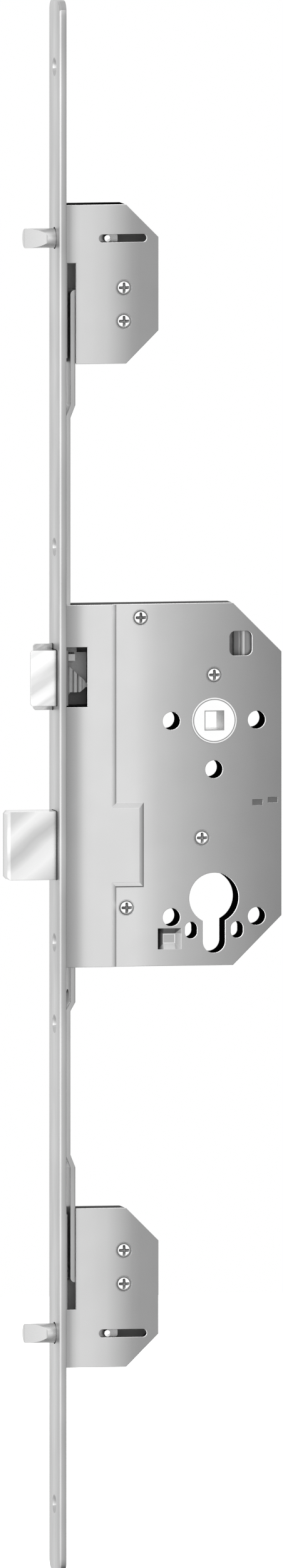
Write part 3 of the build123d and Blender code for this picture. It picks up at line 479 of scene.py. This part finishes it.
def bolt_metal(name, middle):
    """Round bolt with long painted reflection bands, a painted highlight on the flat of its tip and a tail
    painted dark as shade.
    """
    kit = Metal(name)
    bands = [
        (-4.4, 150), (-3.8, 250), (-2.6, 255), (-1.2, 210), (0, 200), (1.2, 174), (2.6, 188), (3.6, 164),
        (4.4, 130),
    ]
    round_shading = kit.along("Z", [(middle + place, grey) for place, grey in bands], 1.0)
    flat = kit.along("X", [(-83.6, 170), (-83.1, 192), (-74.4, 200), (-74, 165)])
    on_flat = kit.both(kit.square_to("Z", 0.02), kit.between("X", *BOLT_FLAT))
    colour = kit.mix(on_flat, round_shading, flat)
    colour = kit.mix(kit.between("X", BOLT_TAIL_FROM, 0), colour, kit.flat(165))
    return kit.finish(colour, rough=0.28, grain=(4, 1.5, 1.5), depth=0.03, edge=0.1, mottle=1)


def rod_metal():
    """Drawn steel bar, with a painted highlight on its narrow side and painted shade, greyer, in front."""
    kit = Metal("drawn_bar")
    front = kit.along("X", [(-66.3, 230), (-65.95, 215), (-65.75, 188), (-62.3, 176), (-62.1, 150)])
    colour = kit.mix(kit.square_to("Y"), front, kit.flat(250))
    colour = kit.times(colour, kit.clouds((3, 3, 60), 238, 255))
    return kit.finish(colour, rough=0.36, grain=(0.3, 0.3, 12), depth=0.12, edge=0.35, mottle=2)


def latch_tail_metal():
    """Plate behind with painted shade, dark low down, and a lighter arm and key pin in front, the arm's light
    and shade painted across it.
    """
    kit = Metal("latch_tail_steel")
    plate = kit.along("Z", [(7, 92), (16.2, 92), (16.6, 162), (34, 162)])
    arm = kit.along("X", [(-65, 190), (-64, 180), (-60, 178), (-56.6, 184), (-50, 178)])
    arm = kit.mix(kit.between("Z", *KEY_PIN_Z), arm, kit.flat(192))
    colour = kit.mix(kit.between("Y", -9, -1), plate, arm)
    return kit.finish(colour, rough=0.62, grain=FINE_GRAIN, depth=0.15, edge=0.3, mottle=3)


def follower_metal(name, stops, square):
    """Cast zinc, bright on its face, with painted shade: a dark rim line and greyer walls in the square hole.
    """
    kit = Metal(name)
    colour = kit.around(stops)
    if square:
        rim = kit.box(-SQUARE_RIM, SQUARE_RIM, -SQUARE_RIM, SQUARE_RIM)
        colour = kit.mix(rim, colour, kit.flat(150))
        walls = kit.box(-SQUARE_WALL, SQUARE_WALL, -SQUARE_WALL, SQUARE_WALL)
        right_wall_shading = kit.along("Z", [(-4, 200), (0, 160), (4, 128)])
        colour = kit.mix(walls, colour, kit.mix(kit.between("X", 3.9, 5), kit.flat(225), right_wall_shading))
    return kit.finish(colour, rough=0.4, grain=SOFT_GRAIN, depth=0.12, edge=0.15, mottle=1)


def stiffener_metal():
    """Bent sheet, its light and shade painted along it: a dark strip, a light one, a bright bend line and a
    graded wide face.
    """
    kit = Metal("stiffener_steel")
    colour = kit.along("X", [
        (10, 170), (10.62, 170), (10.65, 112), (12.4, 124), (12.6, 160), (13.03, 160), (13.06, 255),
        (13.14, 255), (13.16, 166), (13.85, 166), (13.95, 228), (14.2, 228), (14.35, 132), (17.9, 172),
        (29, 150),
    ])
    return kit.finish(colour, rough=0.36, grain=FINE_GRAIN, depth=0.15, edge=0.2, mottle=3)


# Materials for slots and for nodes
SCREW = plain_metal("bright_screw", 246, 255, 0.24, SMOOTH_GRAIN, 0.05, 0.0, gain=1.0)
# Painted shade in the screws' cross recess and in the groove about their heads
RECESS_SHADE = plain_metal("screw_recess_shade", 120, 150, 0.3, SMOOTH_GRAIN, 0.05, 0.0)
GROOVE_SHADE = plain_metal("screw_groove_shade", 120, 140, 0.4, SMOOTH_GRAIN, 0.05, 0.0)
# Black sleeves in the rose holes, painted shade for the dark inside of the holes
SLEEVE_SHADE = plain_metal("black_sleeve_shade", 2, 8, 0.9, metallic=0.0)
SLEEVE_SHADE.node_tree.nodes["Principled BSDF"].inputs["Specular IOR Level"].default_value = 0.0
BOX_COVER = cover_metal("box_cover_zinc", BOX_SHADING)
# Painted light and shade on the floors inside the trays and in the sight window, as greys at places in mm
# along X
BOX_FLOOR_SHADING = [(-67, 200), (-57, 200), (-55, 180), (-25, 180)]
CASE_FLOOR_SHADING = [(-67, 110), (-50, 110), (-48, 4), (30, 4)]
CASE_WINDOW_SHADING = [(-67, 110), (6, 215), (12, 240)]
# Greys at distances in mm from the axis; the dark rings are painted shade in the gap between the follower and
# its bushes
FOLLOWER_RING_SHADES = [(0, 226), (8.9, 229), (9.1, 160), (9.2, 96), (17, 110)]
BUSH_RING_SHADES = [(0, 100), (9.3, 110), (9.45, 205), (9.7, 226), (10, 215)]
ROD = rod_metal()
by_slot = {
    "stainless": faceplate_metal(),
    "zinc_sheet": tray_metal("case_tray_zinc", CASE_SHADING, 76, CASE_FLOOR_SHADING, CASE_WINDOW_SHADING),
    "bright_steel": plain_metal("bright_zinc", 190, 212),
    "polished_nickel": polished_metal("polished_nickel", 222, 252, 7, 60, LATCH_INSIDE_FROM),
    "cast_zinc": plain_metal("cast_zinc", 212, 226, 0.36, SOFT_GRAIN, 0.25),
    # Inner steel painted dark grey as the shade inside the case
    "inner_steel": plain_metal("shaded_inner_steel", 100, 112, 0.4),
    "spring_wire": plain_metal("spring_wire", 130, 160, 0.3, (0.4, 0.4, 0.4), 0.1, 0.0),
}
by_node = {
    "main_case_cover": cover_metal("case_cover_zinc", CASE_SHADING, True),
    "upper_box_cover": BOX_COVER,
    "lower_box_cover": BOX_COVER,
    # Tray walls painted dark as shade: black on the upper box, dark grey on the lower
    "upper_box_tray": tray_metal("upper_tray_zinc", BOX_SHADING, 8, BOX_FLOOR_SHADING),
    "lower_box_tray": tray_metal("lower_tray_zinc", BOX_SHADING, 68, BOX_FLOOR_SHADING),
    "rose_sleeves": SLEEVE_SHADE,
    "latch_trigger": polished_metal("brushed_nickel", 178, 214, 3, 30),
    "latch_tail": latch_tail_metal(),
    "corner_stiffener": stiffener_metal(),
    "follower": follower_metal("follower_zinc", FOLLOWER_RING_SHADES, True),
    "follower_bushes": follower_metal("bush_zinc", BUSH_RING_SHADES, False),
    "deadbolt": deadbolt_metal(),
    "upper_rod": ROD,
    "lower_rod": ROD,
    "upper_bolt": bolt_metal("upper_bolt_nickel", BOLT_Z),
    "lower_bolt": bolt_metal("lower_bolt_nickel", mirrored(BOLT_Z)),
}
for part in frame["record"]["subparts"]:
    for slot in nodes[part["node"]].material_slots:
        slot.material = by_node.get(part["node"], by_slot[part["material_slot"]])


def add_piece(name, mesh, node, body):
    """A new piece that stands in for a node and moves with a body."""
    piece = bpy.data.objects.new(name, mesh)
    scene.collection.objects.link(piece)
    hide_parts(node)
    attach(piece, body)
    return piece


def copy_piece(name, node, body):
    """A new piece with a copy of the mesh of the node that it stands in for."""
    mesh = nodes[node].data.copy()
    mesh.name = name
    return add_piece(name, mesh, node, body)


# Springs of the joints, each a copy of its node with a mesh of its own, moving with its body
behaviour = frame["record"]["behaviour"]
for joint in behaviour["joints"]:
    for soft in joint.get("deforming_nodes", ()):
        node = soft["node"]
        body = next(name for name, held in behaviour["bodies"].items() if node in held)
        coil = copy_piece(node + "_coil", node, body)
        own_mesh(coil)


# Faceplate with nearly square ends, as the photograph shows them, in place of half round ones
END_CORNER_R = 5 * MM


def square_reach(across, along, half):
    """How far a square end with rounded corners reaches in a direction from its middle."""
    straight = half - END_CORNER_R
    flat = half / max(across, along)
    if min(across, along) * flat <= straight:
        return flat
    lean = (across + along) * straight
    return lean + math.sqrt(lean ** 2 - 2 * straight ** 2 + END_CORNER_R ** 2)


def square_ended_plate():
    """A copy of the plate whose half round ends are pushed out to nearly square ones."""
    low, high = (Vector(corner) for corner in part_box("faceplate"))
    half, middle = (high.y - low.y) / 2, (low + high) / 2
    end_middle = (high.z - low.z) / 2 - half
    mesh = copy_piece("faceplate_square_ends", "faceplate", "case").data
    for vertex in mesh.vertices:
        across, along = abs(vertex.co.y - middle.y), abs(vertex.co.z - middle.z) - end_middle
        if along > 0:
            away = math.hypot(across, along)
            grow = square_reach(across / away, along / away, half) / half
            side = 1 if vertex.co.z > middle.z else -1
            vertex.co.y = min(high.y, max(low.y, middle.y + (vertex.co.y - middle.y) * grow))
            vertex.co.z = min(high.z, max(low.z, vertex.co.z + side * along * (grow - 1)))
    if "custom_normal" in mesh.attributes:
        mesh.attributes.remove(mesh.attributes["custom_normal"])


square_ended_plate()


# Domed heads of the screws, with a soft cross recess and painted shade in it and in the groove about the
# head, and of the guide pins
SPOKES = 96
HEAD_LOW = 0.1
CROSS_LONG = 2.3
CROSS_HALF = 0.6
CROSS_DEEP = 0.8
CROSS_SHOWS = 0.08
SHANK_R = 1.4
GROOVE_RISE = 0.3
DOME_R = 2.2
DOME_TOP = 1.15
DOME_FALL = 0.12
DOME_STEPS = [ring / 20 for ring in range(1, 21)]
HEAD_PROFILE = (
    [(DOME_R * step, DOME_TOP - DOME_FALL * step ** 2) for step in DOME_STEPS]
    + [(2.4, 0.96), (2.55, 0.84), (2.66, 0.68), (2.74, 0.48), (2.78, 0.28), (2.8, 0.05), (2.95, 0.04)]
    + [(3.0, 0.16), (3.2, 0.16), (3.25, 0.04), (SHANK_R, -0.04), (SHANK_R, -4.4)]
)


def cross_recess(across, along):
    """Depth of a cross with rounded sides at a place on the head."""
    deepest = 0
    for long, wide in ((abs(across), abs(along)), (abs(along), abs(across))):
        inside = max(0, 1 - (wide / CROSS_HALF) ** 2) * max(0, 1 - (long / CROSS_LONG) ** 4)
        deepest = max(deepest, inside)
    return CROSS_DEEP * deepest ** 0.6


def dome_piece(name, body, replaced, places, seat_y, profile, recess=None):
    """Round heads as height fields over rings and spokes, each on its own shank."""
    mesh = bpy.data.meshes.new(name)
    shape = bmesh.new()
    for x, z in places:
        rings = []
        for radius, rise in profile:
            row = []
            for spoke in range(SPOKES):
                angle = 2 * math.pi * spoke / SPOKES
                across, along = radius * math.cos(angle), radius * math.sin(angle)
                sunk = recess(across, along) if recess and rise > 0 else 0
                height = max(rise - sunk, HEAD_LOW) if rise > 0 else rise
                row.append(shape.verts.new(((x + across) * MM, (seat_y - height) * MM, (z + along) * MM)))
            rings.append(row)
        middle_rise = profile[0][1] - (recess(0, 0) if recess else 0)
        middle = shape.verts.new((x * MM, (seat_y - middle_rise) * MM, z * MM))
        for spoke in range(SPOKES):
            other = (spoke + 1) % SPOKES
            top = shape.faces.new((middle, rings[0][spoke], rings[0][other]))
            # Faces in the cross recess and in the groove take the painted shade materials
            top.material_index = 1 if recess else 0
            for inner, outer, (radius, rise) in zip(rings, rings[1:], profile):
                face = shape.faces.new((inner[spoke], outer[spoke], outer[other], inner[other]))
                angle = 2 * math.pi * (spoke + 0.5) / SPOKES
                if recess and recess(radius * math.cos(angle), radius * math.sin(angle)) > CROSS_SHOWS:
                    face.material_index = 1
                elif rise < GROOVE_RISE:
                    face.material_index = 2
    bmesh.ops.recalc_face_normals(shape, faces=shape.faces)
    for face in shape.faces:
        face.smooth = True
    shape.to_mesh(mesh)
    shape.free()
    for material in (SCREW, RECESS_SHADE, GROOVE_SHADE):
        mesh.materials.append(material)
    add_piece(name, mesh, replaced, body)


CASE_SCREWS = [(-32.8, 45.6), (0, 20), (-5.5, -51.5), (-39.1, -81.7)]
CASE_SEAT = -6.2
BOX_SEAT = -7.7
BOX_SCREW_X = -40.6
UPPER_SCREWS = [(BOX_SCREW_X, 176), (BOX_SCREW_X, 190.7)]
LOWER_SCREWS = [(x, mirrored(z)) for x, z in UPPER_SCREWS]
for name, node, places, seat in (
    ("case_screw_heads", "main_case_screws", CASE_SCREWS, CASE_SEAT),
    ("upper_screw_heads", "upper_box_screws", UPPER_SCREWS, BOX_SEAT),
    ("lower_screw_heads", "lower_box_screws", LOWER_SCREWS, BOX_SEAT),
):
    dome_piece(name, "case", node, places, seat, HEAD_PROFILE, cross_recess)

PIN_R = 1.5
PIN_X = -47.7
PIN_SEAT = -6.9
PIN_FOOT = -3.0
PIN_RISE = 0.85
PIN_ANGLES = [math.radians(9 * ring) for ring in range(1, 10)]
PIN_PROFILE = (
    [(PIN_R * math.sin(angle), PIN_RISE * math.cos(angle)) for angle in PIN_ANGLES]
    + [(PIN_R, 0.0), (PIN_R, PIN_SEAT - PIN_FOOT)]
)
for name, body, node, z in (
    ("upper_pin_head", "upper_bolt", "upper_guide_pin", BOLT_Z),
    ("lower_pin_head", "lower_bolt", "lower_guide_pin", mirrored(BOLT_Z)),
):
    dome_piece(name, body, node, [(PIN_X, z)], PIN_SEAT, PIN_PROFILE)


# Pale floor under the part, left out of the reflections
FLOOR_Z = cad_box[0][2] - 0.002
FLOOR_HALF = 1.6
FLOOR_GLOW = 0.6
floor_mesh = bpy.data.meshes.new("floor")
corners = [(-1, -1), (1, -1), (1, 1), (-1, 1)]
floor_mesh.from_pydata([(x * FLOOR_HALF, y * FLOOR_HALF, FLOOR_Z) for x, y in corners], [], [(0, 1, 2, 3)])
floor = bpy.data.objects.new("floor", floor_mesh)
scene.collection.objects.link(floor)
paper = Metal("pale_floor")
paper_tint = paper.ramp(paper.noise((300, 300, 300)), [(0.3, 250), (0.7, 253)])
paper.join(paper_tint, paper.shader.inputs["Base Color"])
paper.shader.inputs["Roughness"].default_value = 0.9
paper.shader.inputs["Emission Color"].default_value = (1, 1, 1, 1)
paper.shader.inputs["Emission Strength"].default_value = FLOOR_GLOW
floor_mesh.materials.append(paper.material)
floor.visible_glossy = False


# Soft light from the left
SOFTBOX_WIDE = 0.5
SOFTBOX_TALL = 1.6
SOFTBOX_POWER = 3
SOFTBOX_AT = Vector((-1.1, -0.5, 0.5))
SOFTBOX_AIM = Vector((-0.03, 0, -0.03))
softbox = bpy.data.lights.new("left_softbox", "AREA")
softbox.shape = "RECTANGLE"
softbox.size = SOFTBOX_WIDE
softbox.size_y = SOFTBOX_TALL
softbox.energy = SOFTBOX_POWER
lamp = bpy.data.objects.new("left_softbox", softbox)
lamp.location = SOFTBOX_AT
lamp.rotation_euler = (SOFTBOX_AIM - SOFTBOX_AT).to_track_quat("-Z", "Y").to_euler()
scene.collection.objects.link(lamp)


# Studio around the part, bright at the top left and behind; the camera itself sees it white
LIGHT_FROM = Vector((-0.5, -0.35, 0.8)).normalized()
DARKEST = 0.03
BRIGHTEST = 2.25
BEHIND = 0.6
world = bpy.data.worlds.new("studio")
scene.world = world
world.use_nodes = True
sky = Nodes(world.node_tree)
background = world.node_tree.nodes["Background"]
background.inputs["Color"].default_value = (1, 1, 1, 1)
direction = sky.add("ShaderNodeTexCoord").outputs["Generated"]
facing = sky.add("ShaderNodeVectorMath", operation="DOT_PRODUCT")
sky.join(direction, facing.inputs[0])
facing.inputs[1].default_value = LIGHT_FROM
axes = sky.add("ShaderNodeSeparateXYZ")
sky.join(direction, axes.inputs[0])
from_above = sky.span(facing.outputs["Value"], -0.95, 1.0, DARKEST, BRIGHTEST)
glow = sky.math("ADD", from_above, sky.span(axes.outputs["Y"], 0, 1, 0, BEHIND))
seen = sky.add("ShaderNodeLightPath").outputs["Is Camera Ray"]
strength = sky.math("ADD", sky.math("MULTIPLY", glow, sky.math("SUBTRACT", 1, seen)), seen)
sky.join(strength, background.inputs["Strength"])
